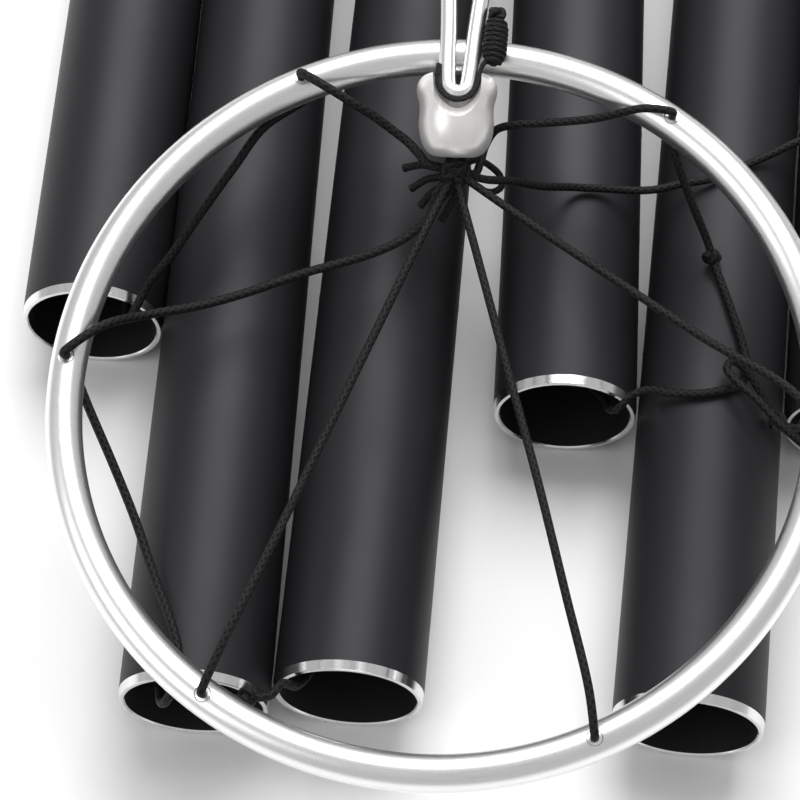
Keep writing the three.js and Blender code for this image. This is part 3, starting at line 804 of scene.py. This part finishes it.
hanger_place = Matrix.Translation(MOUTH) @ Matrix((SIDE, LEAN, FRONT)).transposed().to_4x4()
link_place = (
    hanger_place @ Matrix.Translation((0, LINK_SEAT, 0))
    @ Matrix.Rotation(-LINK_BACK_LEAN, 4, "X") @ Matrix.Rotation(-LINK_SIDE_LEAN, 4, "Z")
)

ferrule = turned("ferrule_cap", [
    (4.6, 0.4), (5.0, 0), (6.9, 0), (7.8, 0.2), (9.4, 1.1), (10.5, 2.4), (11.3, 3.8), (11.95, 5.6),
    (12.4, 7.5), (12.65, 9.6), (12.7, 11.5), (12.6, 13.4), (12.5, 15), (12.55, 16.3), (12.7, 17.5),
    (13.0, 18.8), (13.3, 20), (13.52, 21.2), (13.6, 22.2), (13.5, 23.4), (13.2, 24.4), (12.7, 25.4),
    (12, 26.3), (11.1, 27.1), (10, 27.6), (8.8, 28.0), (7.5, 28.2), (5.0, 28.4), (4.6, 28.0),
], ["ferrule"], None, hanger_place, 144, 40.0)
notch_place = (
    hanger_place @ Matrix.Translation((0, NOTCH_FLOOR + NOTCH_RADIUS / math.cos(NOTCH_SLOPE), 0))
    @ Matrix.Rotation(NOTCH_SLOPE, 4, "X")
)
notch_outline = [Vector((NOTCH_RADIUS * math.cos(a), NOTCH_RADIUS * math.sin(a), 0))
                 for a in (-math.pi * k / 40 for k in range(41))]
notch_outline += [Vector((-NOTCH_RADIUS - 1.2, 16, 0)), Vector((NOTCH_RADIUS + 1.2, 16, 0))]
notch = cutter("notch", [[row(notch_place @ (p + Vector((0, 0, z)))) for p in notch_outline]
                         for z in (30, -30)])
with_modifiers(ferrule, [
    ("BOOLEAN", {"object": notch, "operation": "DIFFERENCE", "solver": "EXACT"}),
    ("BEVEL", {"width": NOTCH_BEVEL / 1000, "segments": 4, "limit_method": "ANGLE",
               "angle_limit": math.radians(40)}),
])
bpy.data.objects.remove(notch)
ferrule.data.shade_smooth()
settle(ferrule, "hanger", "ferrule", "ferrule")


def link_route():
    """A closed outline in the link's own plane: a small near bend, a wider far bend."""
    near, far = LINK_NEAR_HALF, LINK_NEAR_HALF + LINK_STRAIGHT
    middle_half, middle = (LINK_NEAR_HALF + LINK_FAR_HALF) / 2, LINK_NEAR_HALF + LINK_STRAIGHT / 2
    points = [Vector((LINK_NEAR_HALF * math.sin(a), near - LINK_NEAR_HALF * math.cos(a), 0.0))
              for a in (-math.pi / 2 + math.pi * k / 6 for k in range(7))]
    points.append(Vector((middle_half, middle, 0.0)))
    points += [Vector((LINK_FAR_HALF * math.sin(a), far - LINK_FAR_HALF * math.cos(a), 0.0))
               for a in (math.pi / 2 + math.pi * k / 8 for k in range(9))]
    points.append(Vector((-middle_half, middle, 0.0)))
    return points


def closed_spline(points, step):
    """The centripetal spline through a closed list of points."""
    n = len(points)
    whole = catmull([*points[-2:], *points, *points[:3]], step)
    first = min(range(len(whole) // 3), key=lambda k: (whole[k] - points[0]).length)
    last = min(range(2 * len(whole) // 3, len(whole)), key=lambda k: (whole[k] - points[0]).length)
    return whole[first:last]


link_path = [link_place @ p for p in closed_spline(link_route(), 0.6)]
link = grid_mesh("link_rod", strand_rings(link_path, LINK_ROD, 40, True), ["link"],
                 closed_path=True, sharp=60.0)
settle(link, "link", "link", "hanging_link")

# The lashing: cord wound close up the link's side, thick in the middle, its end taken round the near bend.
LASH_PLACE = Vector((11.5, 9.5, 1.3))
lash_place = link_place @ Matrix.Translation(LASH_PLACE)
BARREL = [(0.0, 0.3), (1.6, 0.8), (3.0, 2.4), (3.9, 6.0), (3.9, 14.0), (3.4, 17.0), (2.3, 18.6)]


def barrel(h):
    """The lashing's radius at a height along it."""
    for (r0, h0), (r1, h1) in zip(BARREL, BARREL[1:]):
        if h <= h1:
            return r0 + (r1 - r0) * max(0.0, h - h0) / (h1 - h0)
    return BARREL[-1][0]


COIL_TURNS, COIL_STEPS = 9, 24
COIL_START, COIL_RISE, COIL_CORD, COIL_FLATTEN = 2.0, 16.0, 1.0, 1.12
coil = []
for k in range(COIL_TURNS * COIL_STEPS):
    a = 2 * math.pi * k / COIL_STEPS
    h = COIL_START + COIL_RISE * k / (COIL_TURNS * COIL_STEPS)
    reach = barrel(h) - 0.95
    coil.append(lash_place @ Vector((COIL_FLATTEN * reach * math.cos(a), h, reach * math.sin(a))))
lash_core = [(0.01, 0.6), (1.2, 1.2), (2.3, 3), (2.9, 6), (2.9, 14), (2.2, 17), (1.2, 18.6), (0.01, 19.2)]
core = turned("core", lash_core, ["cord"], None, lash_place, 24)
seat = [(11.2, 14.0, 1.6), (9.4, 12.2, 1.8), (7.9, 10.2, 1.9), (7.1, 7.2, 2.0), (6.75, 3.2, 2.1),
        (4.6, -1.6, 2.1), (0.6, -3.35, 2.0), (-3.6, -2.3, 2.0), (-6.5, 1.4, 2.0), (-7.0, 5.5, 2.0),
        (-7.0, 9.5, 1.8)]
seat_path = catmull([link_place @ Vector(p) for p in seat], 0.5)
seat_radii = [max(0.8, 1.6 - 0.8 * k / (0.12 * len(seat_path))) for k in range(len(seat_path))]
lashing = [core, rope("coil", coil, COIL_CORD, 12),
           rope("top", knot_path(lash_place @ Vector((-0.4, 20.2, 0.3)), 2.2, LEAN, 0.4), 1.25, closed=True)]
settle(joined("lashing_cord", lashing), "link", "cord", "link_lashing")
# Its end goes under the bend: the part in the notch stays with the cap when the link rocks.
lashing_end = rope("lashing_end", seat_path, seat_radii, 12)
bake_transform(lashing_end)

# ------------------------------------------------------------------ striker and sail

STRIKER_EDGE = 3.2
r, t, e = STRIKER_RADIUS, STRIKER_THICKNESS, STRIKER_EDGE
quarter = [math.pi / 12 * k for k in range(7)]
profile = [(3.0, 0.8), (3.8, 0.0), (r - e, 0.0)]
profile += [(r - e + e * math.sin(a), e - e * math.cos(a)) for a in quarter[1:]]
profile += [(r - e + e * math.cos(a), t - e + e * math.sin(a)) for a in quarter]
profile += [(r - 9.0, t), (r - 9.6, t - 0.7), (r - 10.4, t - 0.7), (r - 11.0, t), (3.8, t), (3.0, t - 0.8)]
disc_place = striker_place @ Matrix.Rotation(math.pi / 2, 4, "X")
disc = turned("striker_wood", profile, ["striker"], None, disc_place, 160, 40.0)
settle(disc, "striker_disc", "striker", "striker")


def bezier(a, b, c, d, steps=14):
    """Points of a cubic curve, without its last one."""
    out = []
    for k in range(steps):
        s = k / steps
        out.append(tuple(
            (1 - s) ** 3 * p + 3 * (1 - s) ** 2 * s * q + 3 * (1 - s) * s * s * u + s**3 * v
            for p, q, u, v in zip(a, b, c, d)))
    return out


near, far, w = -SAIL_INSET, SAIL_LENGTH - SAIL_INSET, SAIL_HALF_WIDTH
half = (bezier((0, near), (0.3 * w, near), (0.42 * w, near + 8), (0.55 * w, near + 26))
        + bezier((0.55 * w, near + 26), (0.72 * w, near + 48), (w, near + 56), (w, near + 76))
        + bezier((w, near + 76), (w, far - 14), (0.55 * w, far), (0, far)) + [(0, far)])
outline = half + [(-x, y) for x, y in reversed(half[1:-1])]
curve = bpy.data.curves.new("sail_outline", "CURVE")
curve.dimensions = "2D"
curve.fill_mode = "BOTH"
for loop in (outline, [(SAIL_HOLE * math.cos(a), -SAIL_HOLE * math.sin(a)) for a in round_angles(32)]):
    spline = curve.splines.new("POLY")
    spline.points.add(len(loop) - 1)
    for point, (px, py) in zip(spline.points, loop):
        point.co = (px / 1000, py / 1000, 0, 1)
    spline.use_cyclic_u = True
curve.extrude = 0.0007
curve.bevel_depth = 0.0003
curve.bevel_resolution = 2
flat = bpy.data.objects.new("sail_flat", curve)
bpy.context.scene.collection.objects.link(flat)
bpy.context.view_layer.update()
mesh = bpy.data.meshes.new_from_object(flat.evaluated_get(bpy.context.evaluated_depsgraph_get()))
bpy.data.objects.remove(flat)
shift = Matrix.Translation(row(SAIL_ROOT)) @ Matrix.Translation((0, 0, sail_place.translation.z / 1000))
mesh.transform(shift @ Matrix.Rotation(-SAIL_TILT, 4, "X") @ Matrix.Translation((0, 0, 0.001)))
mesh.materials.clear()
mesh.materials.append(MAT["sail"])
mesh.shade_smooth()
mesh.set_sharp_from_angle(angle=math.radians(35.0))
sail = bpy.data.objects.new("sail_blade", mesh)
bpy.context.scene.collection.objects.link(sail)
settle(sail, "sail", "sail", "wind_sail")

# ------------------------------------------------------------------ surface and light

floor = mesh_object("floor", [(-4, -4, 0), (4, -4, 0), (4, 4, 0), (-4, 4, 0)], [(0, 1, 2, 3)], ["floor"])


def softbox(name, place, size, power, aim=(-0.12, -0.3, 0.0)):
    light = bpy.data.lights.new(name, "AREA")
    light.shape = "RECTANGLE"
    light.size, light.size_y = size
    light.energy = power
    made = bpy.data.objects.new(name, light)
    made.location = place
    made.rotation_euler = (Vector(aim) - Vector(place)).to_track_quat("-Z", "Y").to_euler()
    bpy.context.scene.collection.objects.link(made)


softbox("key", (0.03, 0.72, 1.72), (1.6, 1.35), 43.0)
softbox("fill", (-1.5, -0.9, 1.2), (1.2, 1.2), 6.0)

world = bpy.data.worlds.new("studio")
world.use_nodes = True
world.node_tree.nodes["Background"].inputs[0].default_value = (1.0, 1.0, 1.0, 1.0)
world.node_tree.nodes["Background"].inputs[1].default_value = 0.5
bpy.context.scene.world = world
bpy.context.scene.view_settings.view_transform = "Standard"
